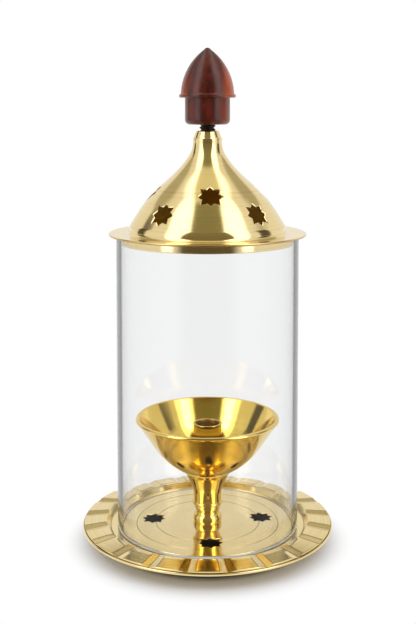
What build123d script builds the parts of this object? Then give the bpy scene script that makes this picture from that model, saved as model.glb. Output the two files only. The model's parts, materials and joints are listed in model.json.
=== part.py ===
from build123d import *
import os
from math import cos, radians, sin, tan

# Akhand diya: a brass oil lamp with a glass chimney and a pierced hood.
# Millimetres, +Z up. The origin is on the ground below the middle of the plate, the front is -Y.

# Walls and fits
sheet = 1.0                    # spun brass wall
running = 0.06                 # radial gap of a shaft in its bore

# Plate and feet
plate_r = 62.5
foot_height = 7.0
foot_r = 4.8
foot_face_r = 3.3
foot_neck_r = 2.9
foot_belly_z = 2.9
foot_neck_z = 6.0
foot_circle_r = 46.0
foot_angles = {"foot_front_right": 48, "foot_back": 168, "foot_left": 288}
channel_top = foot_height + sheet
disc_top = channel_top + 0.8
step_r = 42.5                  # edge of the raised centre, inside the glass
channel_r = 48.7
rim_r = 50.9
rim_inner_top = 11.1
rim_outer_top = 9.95
panel_end_r = 61.7             # where the flutes stop above the lip
lip_height = 0.95
lip_edge = 0.4
pocket_margin = 0.6            # from the ends of a panel to its pocket below
flute_count = 21
flute_depth = 0.9              # at the outer end of a flute
panel_share = 0.59             # flat part of each flute
engraved_radii = (26.0, 35.6)
engraved_depth = 0.15

# Eight-pointed punch, used for the air holes and the vents
star_axial_r = 5.9
star_diagonal_r = 6.6
star_notch_r = 4.4
air_hole_circle_r = 27.3
air_hole_angles = (8, 95, 175, 273)

# Stem
stem_screw_r = 2.5
screw_point = 0.5
screw_head_edge = 1.6
screw_head_r = 4.8
screw_head_height = 2.8
screw_slot_width = 1.2
screw_slot_depth = 1.3
screw_top = 25.0
screw_washer_r = 6.5
knop_top = 17.8
knop_foot_r = 6.7
knop_r = 7.1
knop_belly_z = 11.1
knop_neck_r = 5.55
knop_neck_z = 14.1
bead_r = 6.35
bead_edge_r = 6.0
bead_z = 16.3
bead_half = 1.1
trumpet_lip_r = 7.5
trumpet_lip_z = 18.6
trumpet_waist_r = 7.05
trumpet_waist_z = 23.2
trumpet_top = 35.3
trumpet_top_r = 12.25

# Bowl and wick tube
bowl_rim_r = 35.95
bowl_top = 62.2
bowl_lip = 1.45                # flat top of the rim
bowl_foot_r = 12.35
bowl_floor = 38.8
bowl_floor_r = 10.0
bowl_knuckle_r = 26.9          # where the cone turns into the curved foot
bowl_knuckle_z = 48.15
spigot_r = 5.0
spigot_length = 8.0
wick_tube_r = 7.3
wick_tube_bore_r = 6.0
wick_tube_top = 59.0
wick_seat_depth = 1.2
oil_port_r = 1.25

# Glass
glass_r = 45.2
glass_wall = 2.4
glass_top = 154.0
glass_edge = 0.6               # fire-polished rims

# Lid
brim_r = 48.8
brim_top = glass_top + sheet
hood_foot_r = 38.75
hood_foot_fillet = 1.6
neck_r = 7.15
neck_top = 205.3
neck_bottom = 199.2
neck_hole_r = 4.3
neck_mouth_r = 5.3
brim_edge = 0.4
collar_r = step_r
collar_depth = 4.0
collar_wall = 0.8
collar_edge = 0.3
upper_vents = {"fraction": 0.61, "angles": (-87, 3, 93)}
lower_vents = {"fraction": 0.825, "angles": (-39.5, 44.5)}

# Stud and knob
stud_r = 4.0
stud_bottom = 183.5
stud_top = 221.4
bush_bottom = 193.5
bush_top = 201.5
washer_thick = 1.2
stud_washer_r = 7.5
nut_height = 6.5
nut_across_flats = 13.0
nut_chamfer = (0.9, 0.6)       # in from the corners, down from the face
stud_end_chamfer = 0.8
knob_bottom = 208.35
knob_body_r = 11.1
knob_corner = 2.4
skirt_bottom = 221.5
skirt_r = 14.0
skirt_height = 1.6
dome_r = 13.5
dome_bottom = 224.2
knob_top = 246.0
insert_r = 5.8
insert_top = 222.4


def around(angle, r, z):
    """Point at an angle from the front, counted towards +X."""
    return Vector(r * sin(radians(angle)), -r * cos(radians(angle)), z)


def star_corners():
    """Corners of the punch, with its longer points on the diagonals."""
    radii = (star_axial_r, star_notch_r, star_diagonal_r, star_notch_r)
    corners = []
    for i in range(16):
        turn = radians(22.5 * i)
        corners.append((radii[i % 4] * cos(turn), radii[i % 4] * sin(turn)))
    return corners


os.makedirs("parts", exist_ok=True)

# Fluted rim: every edge of a flute runs to one point on the plate's axis, so its faces are flat
panel_slope = (rim_inner_top - rim_outer_top) / (panel_end_r - rim_r)
valley_slope = flute_depth / panel_end_r
rim_apex = rim_outer_top + panel_slope * panel_end_r
flute_pitch = 360 / flute_count
half_panel = flute_pitch * panel_share / 2
half_valley = flute_pitch / 2 - half_panel


def panel_z(r):
    """Height of the flat panels at a radius."""
    return rim_apex - panel_slope * r


def valley_z(r):
    """Height of the folds between the panels at a radius."""
    return panel_z(r) - valley_slope * r


with BuildPart() as valley_cutter:
    for r in (rim_r - 1.5, plate_r + 1):
        half = r * tan(radians(half_valley))
        rise = panel_z(r) - valley_z(r)
        with BuildSketch(Plane.XZ.offset(r)):
            with BuildLine():
                Polyline(
                    (0, valley_z(r)),
                    (half * 1.5, valley_z(r) + rise * 1.5),
                    (-half * 1.5, valley_z(r) + rise * 1.5),
                    close=True,
                )
            make_face()
    loft(ruled=True)

with BuildPart() as pocket_cutter:
    for r in (rim_r + 2 * pocket_margin, panel_end_r - pocket_margin):
        half_top = r * tan(radians(half_panel))
        half_bottom = r * tan(radians(flute_pitch / 2 - 0.4))
        pocket_top = panel_z(r) - sheet
        pocket_bottom = valley_z(r) - sheet - 0.2
        with BuildSketch(Plane.XZ.offset(r)):
            with BuildLine():
                Polyline(
                    (-half_top, pocket_top),
                    (half_top, pocket_top),
                    (half_bottom, pocket_bottom),
                    (-half_bottom, pocket_bottom),
                    close=True,
                )
            make_face()
    loft(ruled=True)

# Base plate
lip_top = valley_z(panel_end_r)
lip_bottom = lip_top - lip_height
with BuildPart() as base_plate:
    with BuildSketch(Plane.XZ):
        with BuildLine():
            Polyline(
                (stem_screw_r, disc_top),
                (step_r, disc_top),
                (step_r, channel_top),
                (channel_r, channel_top),
                (rim_r - 0.4, rim_inner_top - 0.4),
                (rim_r, panel_z(rim_r)),
                (panel_end_r, panel_z(panel_end_r)),
                (panel_end_r, lip_top),
                (plate_r, lip_top),
                (plate_r, lip_bottom),
                (panel_end_r - 0.2, lip_bottom),
                (panel_end_r - 0.2, valley_z(panel_end_r) - sheet),
                (rim_r + 0.4, valley_z(rim_r) - sheet),
                (channel_r + 0.6, foot_height),
                (step_r - sheet, foot_height),
                (step_r - sheet, disc_top - sheet),
                (stem_screw_r, disc_top - sheet),
                close=True,
            )
        make_face()
    revolve(axis=Axis.Z)
    lip_edges = base_plate.edges().filter_by(GeomType.CIRCLE)
    fillet([e for e in lip_edges if abs(e.radius - plate_r) < 0.01], radius=lip_edge)
    with PolarLocations(0, flute_count, start_angle=flute_pitch / 2):
        add(valley_cutter.part, mode=Mode.SUBTRACT)
    with PolarLocations(0, flute_count):
        add(pocket_cutter.part, mode=Mode.SUBTRACT)
    with BuildSketch(Plane.XY.offset(disc_top)):
        for angle in air_hole_angles:
            with Locations(Location((*around(angle + 90, air_hole_circle_r, 0),), (0, 0, angle))):
                Polygon(*star_corners(), align=None)
    extrude(amount=-2 * sheet, mode=Mode.SUBTRACT)
    with BuildSketch(Plane.XZ):
        for r in engraved_radii:
            with Locations((r, disc_top)):
                Rectangle(2 * engraved_depth, 2 * engraved_depth, rotation=45)
    revolve(axis=Axis.Z, mode=Mode.SUBTRACT)
base_plate.part.label = "base_plate"
export_step(base_plate.part, "parts/base_plate.step")

# Feet: cast buns, soldered by their necks below the channel
for name, angle in foot_angles.items():
    spot = around(angle, foot_circle_r, 0)
    with BuildPart() as foot:
        with BuildSketch(Plane.XZ.offset(-spot.Y)):
            with BuildLine():
                Line((spot.X, 0), (spot.X + foot_face_r, 0))
                ThreePointArc(
                    (spot.X + foot_face_r, 0),
                    (spot.X + foot_r, foot_belly_z),
                    (spot.X + foot_neck_r, foot_neck_z),
                )
                Polyline(
                    (spot.X + foot_neck_r, foot_neck_z),
                    (spot.X + foot_neck_r, foot_height),
                    (spot.X, foot_height),
                    (spot.X, 0),
                )
            make_face()
        revolve(axis=Axis((spot.X, spot.Y, 0), (0, 0, 1)))
    foot.part.label = name
    export_step(foot.part, f"parts/{name}.step")

# Stem, lower piece: foot, knop, neck and ring bead
with BuildPart() as stem_knop:
    with BuildSketch(Plane.XZ):
        with BuildLine():
            Polyline((stem_screw_r, knop_top), (stem_screw_r, disc_top), (knop_foot_r, disc_top))
            ThreePointArc((knop_foot_r, disc_top), (knop_r, knop_belly_z), (knop_foot_r - 0.4, 12.9))
            ThreePointArc(
                (knop_foot_r - 0.4, 12.9),
                (knop_neck_r, knop_neck_z),
                (bead_edge_r, bead_z - bead_half),
            )
            ThreePointArc((bead_edge_r, bead_z - bead_half), (bead_r, bead_z), (bead_edge_r, bead_z + bead_half))
            Polyline((bead_edge_r, bead_z + bead_half), (bead_edge_r, knop_top), (stem_screw_r, knop_top))
        make_face()
    revolve(axis=Axis.Z)
stem_knop.part.label = "stem_knop"
export_step(stem_knop.part, "parts/stem_knop.step")

# Stem, upper piece: lip, waist and flared top, with a socket for the bowl's spigot
with BuildPart() as stem_trumpet:
    with BuildSketch(Plane.XZ):
        with BuildLine():
            Polyline((0, trumpet_top), (0, knop_top), (trumpet_lip_r - 0.5, knop_top))
            ThreePointArc(
                (trumpet_lip_r - 0.5, knop_top),
                (trumpet_lip_r, trumpet_lip_z),
                (trumpet_lip_r - 0.5, 19.6),
            )
            ThreePointArc(
                (trumpet_lip_r - 0.5, 19.6),
                (trumpet_waist_r - 0.12, 21.2),
                (trumpet_waist_r, trumpet_waist_z),
            )
            Spline(
                (trumpet_waist_r, trumpet_waist_z),
                (8.8, 29.2),
                (trumpet_top_r, 34.9),
                tangents=((0, 1), (1.25, 1)),
            )
            Polyline((trumpet_top_r, 34.9), (trumpet_top_r, trumpet_top), (0, trumpet_top))
        make_face()
    revolve(axis=Axis.Z)
    with Locations((0, 0, trumpet_top)):
        Hole(spigot_r, depth=spigot_length)
    with Locations(Location((0, 0, knop_top), (180, 0, 0))):
        Hole(stem_screw_r, depth=screw_top - knop_top)
stem_trumpet.part.label = "stem_trumpet"
export_step(stem_trumpet.part, "parts/stem_trumpet.step")

# Oil bowl with its spigot and the seat of the wick tube
with BuildPart() as oil_bowl:
    with BuildSketch(Plane.XZ):
        with BuildLine():
            Polyline(
                (0, trumpet_top - spigot_length),
                (spigot_r, trumpet_top - spigot_length),
                (spigot_r, trumpet_top),
                (bowl_foot_r, trumpet_top),
            )
            outer_cone = Line((bowl_rim_r - 0.85, 60.4), (bowl_knuckle_r, bowl_knuckle_z))
            TangentArc(outer_cone @ 1, (bowl_foot_r, trumpet_top), tangent=outer_cone % 1)
            Spline(
                outer_cone @ 0,
                (bowl_rim_r, bowl_top - 0.75),
                (bowl_rim_r - 0.5, bowl_top),
                tangents=(outer_cone % 0 * -1, (-1, 0)),
            )
            inner_cone = Line((bowl_rim_r - 0.5 - bowl_lip, bowl_top), (26.2, 50.0))
            Line((bowl_rim_r - 0.5, bowl_top), inner_cone @ 0)
            TangentArc(inner_cone @ 1, (bowl_floor_r, bowl_floor), tangent=inner_cone % 1)
            Polyline(
                (bowl_floor_r, bowl_floor),
                (0, bowl_floor),
                (0, trumpet_top - spigot_length),
            )
        make_face()
    revolve(axis=Axis.Z)
    with Locations((0, 0, bowl_floor)):
        Hole(wick_tube_r + running, depth=wick_seat_depth)
oil_bowl.part.label = "oil_bowl"
export_step(oil_bowl.part, "parts/oil_bowl.step")

# Screw and washer that hold the stem from below the plate
washer_bottom = disc_top - sheet - washer_thick
with BuildPart() as screw_washer:
    with BuildSketch(Plane.XY.offset(washer_bottom)):
        Circle(screw_washer_r)
        Circle(stem_screw_r, mode=Mode.SUBTRACT)
    extrude(amount=washer_thick)
screw_washer.part.label = "screw_washer"
export_step(screw_washer.part, "parts/screw_washer.step")

with BuildPart() as stem_screw:
    with BuildSketch(Plane.XY.offset(washer_bottom)):
        Circle(screw_head_r)
    extrude(amount=-screw_head_height)
    fillet(stem_screw.edges().group_by(Axis.Z)[0], radius=screw_head_edge)
    with BuildSketch(Plane.XY.offset(washer_bottom)):
        Circle(stem_screw_r)
    extrude(amount=screw_top - washer_bottom)
    chamfer(stem_screw.edges().group_by(Axis.Z)[-1], length=screw_point)
    with BuildSketch(Plane.XY.offset(washer_bottom - screw_head_height)):
        Rectangle(3 * screw_head_r, screw_slot_width)
    extrude(amount=screw_slot_depth, mode=Mode.SUBTRACT)
stem_screw.part.label = "stem_screw"
export_step(stem_screw.part, "parts/stem_screw.step")

# Wick tube with four oil ports near its foot
wick_tube_bottom = bowl_floor - wick_seat_depth
with BuildPart() as wick_tube:
    with BuildSketch(Plane.XY.offset(wick_tube_bottom)):
        Circle(wick_tube_r)
        Circle(wick_tube_bore_r, mode=Mode.SUBTRACT)
    extrude(amount=wick_tube_top - wick_tube_bottom)
    chamfer(wick_tube.edges().group_by(Axis.Z)[-1], length=0.2)
    for side in (Plane.XZ, Plane.YZ):
        with BuildSketch(side):
            with Locations((0, bowl_floor + 2 * oil_port_r)):
                Circle(oil_port_r)
        extrude(amount=2 * wick_tube_r, both=True, mode=Mode.SUBTRACT)
wick_tube.part.label = "wick_tube"
export_step(wick_tube.part, "parts/wick_tube.step")

# Glass chimney with fire-polished rims
with BuildPart() as glass_chimney:
    with BuildSketch(Plane.XY.offset(channel_top)):
        Circle(glass_r)
        Circle(glass_r - glass_wall, mode=Mode.SUBTRACT)
    extrude(amount=glass_top - channel_top)
    fillet(glass_chimney.edges().filter_by(GeomType.CIRCLE), radius=glass_edge)
glass_chimney.part.label = "glass_chimney"
export_step(glass_chimney.part, "parts/glass_chimney.step")

# Hood: neck, ogee, concave foot and brim, one spun wall
brim_inner_r = hood_foot_r + hood_foot_fillet
with BuildPart() as lid_hood:
    with BuildSketch(Plane.XZ):
        with BuildLine():
            Polyline(
                (neck_hole_r, neck_top),
                (neck_mouth_r, neck_top),
                (neck_r - 0.25, 202.5),
                (neck_r, 201.6),
                (neck_r, neck_bottom),
            )
            ogee = Spline(
                (neck_r, neck_bottom),
                (10.9, 190.4),
                (18.6, 182.25),
                (30.2, 171.0),
                (hood_foot_r - 0.35, 158.7),
                tangents=((0, -1), (0.62, -1)),
            )
            Line(ogee @ 1, (hood_foot_r, brim_top + hood_foot_fillet))
            TangentArc(
                (hood_foot_r, brim_top + hood_foot_fillet),
                (brim_inner_r, brim_top),
                tangent=(0, -1),
            )
            Polyline(
                (brim_inner_r, brim_top),
                (brim_r, brim_top),
                (brim_r, glass_top),
                (brim_inner_r, glass_top),
            )
            TangentArc(
                (brim_inner_r, glass_top),
                (hood_foot_r - sheet, brim_top + hood_foot_fillet),
                tangent=(-1, 0),
            )
            inner_ogee = Spline(
                *(ogee @ t + Vector((ogee % t).Y, -(ogee % t).X) * sheet for t in (0, 0.2, 0.4, 0.6, 0.8, 1))
            )
            Line((hood_foot_r - sheet, brim_top + hood_foot_fillet), inner_ogee @ 1)
            Polyline(
                inner_ogee @ 0,
                (neck_r - sheet, bush_top),
                (neck_hole_r, bush_top + 1.9),
                (neck_hole_r, neck_top),
            )
        make_face()
    revolve(axis=Axis.Z)
    brim_edges = lid_hood.edges().filter_by(GeomType.CIRCLE)
    fillet([e for e in brim_edges if abs(e.radius - brim_r) < 0.01], radius=brim_edge)
    for row in (upper_vents, lower_vents):
        spot = ogee @ row["fraction"]
        run = ogee % row["fraction"]
        for angle in row["angles"]:
            centre = around(angle, spot.X, spot.Y)
            outward = around(angle, -run.Y, run.X)
            with BuildSketch(Plane(centre, x_dir=around(angle + 90, 1, 0), z_dir=outward)):
                Polygon(*star_corners(), align=None)
            extrude(amount=3 * sheet, both=True, mode=Mode.SUBTRACT)
lid_hood.part.label = "lid_hood"
export_step(lid_hood.part, "parts/lid_hood.step")

# Collar below the brim, inside the glass
with BuildPart() as lid_collar:
    with BuildSketch(Plane.XY.offset(glass_top - collar_depth)):
        Circle(collar_r)
        Circle(collar_r - collar_wall, mode=Mode.SUBTRACT)
    extrude(amount=collar_depth)
    fillet(lid_collar.edges().group_by(Axis.Z)[0], radius=collar_edge)
lid_collar.part.label = "lid_collar"
export_step(lid_collar.part, "parts/lid_collar.step")

# Bush inside the neck
with BuildPart() as neck_bush:
    with BuildSketch(Plane.XY.offset(bush_bottom)):
        Circle(neck_r - sheet)
        Circle(stud_r, mode=Mode.SUBTRACT)
    extrude(amount=bush_top - bush_bottom)
neck_bush.part.label = "neck_bush"
export_step(neck_bush.part, "parts/neck_bush.step")

# Washer, nut and stud
with BuildPart() as stud_washer:
    with BuildSketch(Plane.XY.offset(bush_bottom - washer_thick)):
        Circle(stud_washer_r)
        Circle(stud_r, mode=Mode.SUBTRACT)
    extrude(amount=washer_thick)
stud_washer.part.label = "stud_washer"
export_step(stud_washer.part, "parts/stud_washer.step")

nut_top = bush_bottom - washer_thick
nut_bottom = nut_top - nut_height
with BuildPart() as stud_nut:
    with BuildSketch(Plane.XY.offset(nut_bottom)):
        RegularPolygon(nut_across_flats / 2, 6, major_radius=False)
    extrude(amount=nut_height)
    with BuildSketch(Plane.XZ):
        with BuildLine():
            corner_r = nut_across_flats / 2 / cos(radians(30))
            inset, drop = nut_chamfer
            Polyline(
                (0, nut_top),
                (corner_r - inset, nut_top),
                (corner_r, nut_top - drop),
                (corner_r, nut_bottom + drop),
                (corner_r - inset, nut_bottom),
                (0, nut_bottom),
                close=True,
            )
        make_face()
    revolve(axis=Axis.Z, mode=Mode.INTERSECT)
    with Locations((0, 0, nut_top)):
        Hole(stud_r)
stud_nut.part.label = "stud_nut"
export_step(stud_nut.part, "parts/stud_nut.step")

with BuildPart() as lid_stud:
    with BuildSketch(Plane.XY.offset(stud_bottom)):
        Circle(stud_r)
    extrude(amount=stud_top - stud_bottom)
    chamfer(lid_stud.edges().filter_by(GeomType.CIRCLE), length=stud_end_chamfer)
lid_stud.part.label = "lid_stud"
export_step(lid_stud.part, "parts/lid_stud.step")

# Knob: turned body, skirt and pointed dome, bored from below for its insert
with BuildPart() as knob:
    with BuildSketch(Plane.XZ):
        with BuildLine():
            Polyline((0, knob_top), (0, knob_bottom), (knob_body_r - knob_corner, knob_bottom))
            TangentArc(
                (knob_body_r - knob_corner, knob_bottom),
                (knob_body_r, knob_bottom + knob_corner),
                tangent=(1, 0),
            )
            Polyline(
                (knob_body_r, knob_bottom + knob_corner),
                (knob_body_r, skirt_bottom + 0.3),
                (skirt_r - 0.5, skirt_bottom),
                (skirt_r, skirt_bottom + 0.5),
                (skirt_r - 0.1, skirt_bottom + skirt_height),
                (dome_r, dome_bottom),
            )
            ThreePointArc((dome_r, dome_bottom), (11.1, 233.0), (1.6, 245.1))
            TangentArc((0, knob_top), (1.6, 245.1), tangent=(1, 0))
        make_face()
    revolve(axis=Axis.Z)
    with Locations(Location((0, 0, knob_bottom), (180, 0, 0))):
        Hole(insert_r, depth=insert_top - knob_bottom)
knob.part.label = "knob"
export_step(knob.part, "parts/knob.step")

with BuildPart() as knob_insert:
    with BuildSketch(Plane.XY.offset(knob_bottom)):
        Circle(insert_r)
        Circle(stud_r + running, mode=Mode.SUBTRACT)
    extrude(amount=insert_top - knob_bottom)
knob_insert.part.label = "knob_insert"
export_step(knob_insert.part, "parts/knob_insert.step")
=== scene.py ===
"""Looks of an akhand diya: a brass oil lamp under a glass chimney with a pierced hood.

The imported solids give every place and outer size. The classes below draw the turned, spun and
pressed surfaces again at a finer grain and dress them. Their sizes are millimetres, as on a
maker's drawing, and a mesh is scaled to metres when its piece is finished.
"""

from __future__ import annotations

import json
import logging
import math
from collections.abc import Callable, Iterable, Sequence
from dataclasses import dataclass, field, replace
from enum import Enum
from functools import cache

import bmesh
import bpy
import numpy as np
from mathutils import Matrix, Vector

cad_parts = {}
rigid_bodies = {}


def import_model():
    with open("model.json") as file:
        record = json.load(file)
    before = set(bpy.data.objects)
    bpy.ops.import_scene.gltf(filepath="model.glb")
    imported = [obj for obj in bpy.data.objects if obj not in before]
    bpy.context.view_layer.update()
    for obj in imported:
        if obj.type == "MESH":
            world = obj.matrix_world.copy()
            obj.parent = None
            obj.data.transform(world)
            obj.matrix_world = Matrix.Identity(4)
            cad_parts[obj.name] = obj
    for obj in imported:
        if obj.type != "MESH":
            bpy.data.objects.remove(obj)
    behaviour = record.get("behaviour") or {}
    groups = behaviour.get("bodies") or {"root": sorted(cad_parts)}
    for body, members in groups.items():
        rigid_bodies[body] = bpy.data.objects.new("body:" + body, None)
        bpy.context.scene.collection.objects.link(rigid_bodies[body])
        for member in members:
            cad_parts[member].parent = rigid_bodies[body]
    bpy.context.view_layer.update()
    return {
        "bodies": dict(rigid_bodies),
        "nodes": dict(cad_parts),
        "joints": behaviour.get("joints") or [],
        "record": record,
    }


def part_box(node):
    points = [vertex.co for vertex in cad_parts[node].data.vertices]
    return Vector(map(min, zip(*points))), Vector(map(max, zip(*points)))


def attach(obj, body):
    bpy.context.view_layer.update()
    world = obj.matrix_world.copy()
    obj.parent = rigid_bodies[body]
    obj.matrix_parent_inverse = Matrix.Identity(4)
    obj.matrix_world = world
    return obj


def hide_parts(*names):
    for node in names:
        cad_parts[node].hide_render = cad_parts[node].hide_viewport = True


MM = 0.001
TARNISH_AND_SHADE = "tarnish_and_shade"
LOG = logging.getLogger("akhand_diya")
Pair = tuple[float, float]
Colour = tuple[float, float, float]


class Body(Enum):
    """The bodies of the frame that pieces ride on."""

    BASE = "base"
    WICK = "wick"
    CHIMNEY = "chimney"
    LID = "lid"
    FINIAL = "finial"


# Profiles


class Outline:
    """A turned profile, drawn as with a pen: r out from the axis and z up.

    GRAIN is the length of its steps. A turn by more than CORNER between two steps is a sharp
    corner. SUPPORT is how many steps a row that holds a straight run flat stands from the bend.
    """

    GRAIN = 0.05
    CORNER = math.radians(9)
    SUPPORT = 6

    def __init__(self, r: float, z: float) -> None:
        """Puts the pen down at a point."""
        self.points: list[Vector] = [Vector((r, z))]

    def line(self, r: float, z: float) -> Outline:
        """Draws a straight line to a point.

        Args:
            r: radius of the point.
            z: height of the point.

        Returns:
            The outline itself.
        """
        start, end = self.points[-1], Vector((r, z))
        steps = math.ceil(((end - start).length - 1e-6) / self.GRAIN)
        self.points += [start.lerp(end, i / steps) for i in range(1, steps + 1)]
        return self

    def path(self, corners: Iterable[Pair], radius: float) -> Outline:
        """Draws straight lines through points and rounds the corners between them.

        Args:
            corners: points of the path after the pen's own; the last one is reached exactly.
            radius: radius of the rounded corners.

        Returns:
            The outline itself.
        """
        stops = [Vector(c) for c in corners]
        for corner, after in zip(stops, stops[1:]):
            arriving = (corner - self.points[-1]).normalized()
            leaving = (after - corner).normalized()
            half_turn = abs(arriving.angle(leaving, 0)) / 2
            back = radius * math.tan(half_turn)
            self.line(*(corner - arriving * back))
            self.bend(*(corner + leaving * back))
        return self.line(*stops[-1])

    def arc(self, via: Pair, end: Pair) -> Outline:
        """Draws the arc that passes through one point and ends at another.

        Args:
            via: a point on the arc.
            end: the arc's last point.

        Returns:
            The outline itself.
        """
        a, b, c = self.points[-1], Vector(via), Vector(end)
        double_area = 2 * (a.x * (b.y - c.y) + b.x * (c.y - a.y) + c.x * (a.y - b.y))
        squares = (a.length_squared, b.length_squared, c.length_squared)
        centre = Vector((
            (squares[0] * (b.y - c.y) + squares[1] * (c.y - a.y) + squares[2] * (a.y - b.y)),
            (squares[0] * (c.x - b.x) + squares[1] * (a.x - c.x) + squares[2] * (b.x - a.x)),
        )) / double_area
        first, middle, last = (math.atan2(p.y - centre.y, p.x - centre.x) for p in (a, b, c))
        sweep = (last - first) % math.tau
        if (middle - first) % math.tau > sweep:
            sweep -= math.tau
        radius = (a - centre).length
        steps = max(6, math.ceil(abs(sweep) * radius / self.GRAIN))
        for i in range(1, steps + 1):
            turn = first + sweep * i / steps
            self.points.append(centre + radius * Vector((math.cos(turn), math.sin(turn))))
        return self

    def bend(self, r: float, z: float, leaving: Pair | None = None) -> Outline:
        """Draws the arc that carries on smoothly to a point.

        Args:
            r: radius of the end point.
            z: height of the end point.
            leaving: direction in which the arc starts; the last line's own when not given.

        Returns:
            The outline itself.
        """
        start, end = self.points[-1], Vector((r, z))
        chord = end - start
        if chord.length < self.GRAIN:
            return self
        along = Vector(leaving) if leaving else start - self.points[-2]
        side = Vector((-along.y, along.x)).normalized()
        offset = chord.dot(side)
        if abs(offset) < 1e-5 * chord.length:
            return self.line(r, z)
        reach = chord.length_squared / (2 * offset)
        centre = start + side * reach
        middle = ((start - centre) + (end - centre)).normalized() * abs(reach)
        return self.arc(tuple(centre + middle), (r, z))

    def spline(self, knots: Sequence[Pair], leaving: Pair, arriving: Pair) -> Outline:
        """Draws a smooth cubic curve through points, with given directions at its ends.

        Args:
            knots: points after the pen's own.
            leaving: direction at the start.
            arriving: direction at the last knot.

        Returns:
            The outline itself.
        """
        spots = np.array([tuple(self.points[-1]), *knots], float)
        spans = np.linalg.norm(np.diff(spots, axis=0), axis=1)
        count = len(spots)
        system = np.eye(count)
        wanted = np.zeros((count, 2))
        wanted[0] = np.array(leaving) / math.hypot(*leaving)
        wanted[-1] = np.array(arriving) / math.hypot(*arriving)
        for i in range(1, count - 1):
            before, after = spans[i - 1], spans[i]
            system[i, i - 1 : i + 2] = 1 / before, 2 / before + 2 / after, 1 / after
            rise, fall = spots[i] - spots[i - 1], spots[i + 1] - spots[i]
            wanted[i] = 3 * (rise / before**2 + fall / after**2)
        speeds = np.linalg.solve(system, wanted)
        for i in range(count - 1):
            steps = math.ceil(spans[i] / self.GRAIN)
            for t in np.linspace(0, 1, steps + 1)[1:]:
                spot = (
                    (2 * t**3 - 3 * t**2 + 1) * spots[i]
                    + (t**3 - 2 * t**2 + t) * spans[i] * speeds[i]
                    + (3 * t**2 - 2 * t**3) * spots[i + 1]
                    + (t**3 - t**2) * spans[i] * speeds[i + 1]
                )
                self.points.append(Vector(spot))
        return self

    def turn_back(self) -> Outline:
        """Takes the pen to the other end of what is drawn."""
        self.points.reverse()
        return self

    def rows(self, turn: float, reach: float) -> list[int]:
        """Chooses the points at which a mesh needs a row of vertices.

        A straight run gets a row where it meets a bend and one more close to it, so that the smooth
        shading of the bend doesn't spread over the straight face.

        Args:
            turn: most that the direction may change between rows, in degrees.
            reach: greatest length between rows.

        Returns:
            Indices into the outline's points, with both ends and all corners.
        """
        count = len(self.points)
        steps = [after - before for before, after in zip(self.points, self.points[1:])]
        bends = [0.0, *(abs(a.angle(b, 0)) for a, b in zip(steps, steps[1:])), 0.0]
        chosen = {0, count - 1}
        turned = length = 0.0
        for i in range(1, count - 1):
            length += steps[i - 1].length
            turned += bends[i]
            if bends[i] > self.CORNER or turned > math.radians(turn) or length > reach:
                chosen.add(i)
                turned = length = 0.0
            straight_before, straight_after = bends[i - 1] < 1e-4, bends[i + 1] < 1e-4
            if 1e-4 < bends[i] < self.CORNER and straight_before != straight_after:
                towards = -1 if straight_before else 1
                near = range(i + towards, i + towards * (self.SUPPORT + 1), towards)
                if all(0 < j < count - 1 and bends[j] < 1e-4 for j in near):
                    chosen |= {i, near[-1]}
        return sorted(chosen)


def ring_outline(inner: float, outer: float, bottom: float, top: float, edge: float) -> Outline:
    """Draws the closed section of a plain ring with rounded edges.

    Args:
        inner: inner radius.
        outer: outer radius.
        bottom: height of its lower face.
        top: height of its upper face.
        edge: radius of its edges.

    Returns:
        The closed outline.
    """
    middle = (bottom + top) / 2
    corners = [(outer, top), (inner, top), (inner, bottom), (outer, bottom), (outer, middle)]
    return Outline(outer, middle).path(corners, edge)


# Flat blanks with punched holes


def inside(spot: Vector, corners: Sequence[Vector]) -> bool:
    """Tells whether a flat point is inside a polygon, by counting the sides above it.

    Args:
        spot: the point.
        corners: the polygon's corners.

    Returns:
        True where the point is inside.
    """
    odd = False
    for p, q in zip(corners, [*corners[1:], corners[0]]):
        if (p.y > spot.y) != (q.y > spot.y):
            odd ^= spot.x < p.x + (q.x - p.x) * (spot.y - p.y) / (q.y - p.y)
    return odd


def widened(corners: Sequence[Vector], width: float) -> list[Vector]:
    """Moves every side of a polygon outwards.

    Args:
        corners: the polygon's corners, counterclockwise.
        width: how far the sides move.

    Returns:
        The corners of the wider polygon.
    """
    result = []
    count = len(corners)
    for i, corner in enumerate(corners):
        before = (corner - corners[i - 1]).normalized()
        after = (corners[(i + 1) % count] - corner).normalized()
        first = Vector((before.y, -before.x))
        second = Vector((after.y, -after.x))
        result.append(corner + width * (first + second) / (1 + first.dot(second)))
    return result


def share_inside(face: bmesh.types.BMFace, a: Vector, b: Vector) -> float:
    """Measures how much of a line lies in a flat, convex face.

    Args:
        face: a face that points up.
        a: the line's first end.
        b: the line's other end.

    Returns:
        The share of the line's length, from 0 to 1.
    """
    low, high = 0.0, 1.0
    run = b - a
    for loop in face.loops:
        p = loop.vert.co.xy
        side = loop.link_loop_next.vert.co.xy - p
        inward = Vector((-side.y, side.x))
        height, climb = inward.dot(a - p), inward.dot(run)
        if abs(climb) < 1e-12:
            if height < 0:
                return 0.0
        elif climb > 0:
            low = max(low, -height / climb)
        else:
            high = min(high, -height / climb)
    return max(0.0, high - low)


def gap_to(spot: Vector, corners: Sequence[Vector]) -> float:
    """Measures the distance from a flat point to the nearest side of a polygon.

    Args:
        spot: the point.
        corners: the polygon's corners.

    Returns:
        The distance.
    """
    nearest = math.inf
    for p, q in zip(corners, [*corners[1:], corners[0]]):
        run = q - p
        share = min(1.0, max(0.0, (spot - p).dot(run) / run.length_squared))
        nearest = min(nearest, (p + run * share - spot).length)
    return nearest


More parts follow.
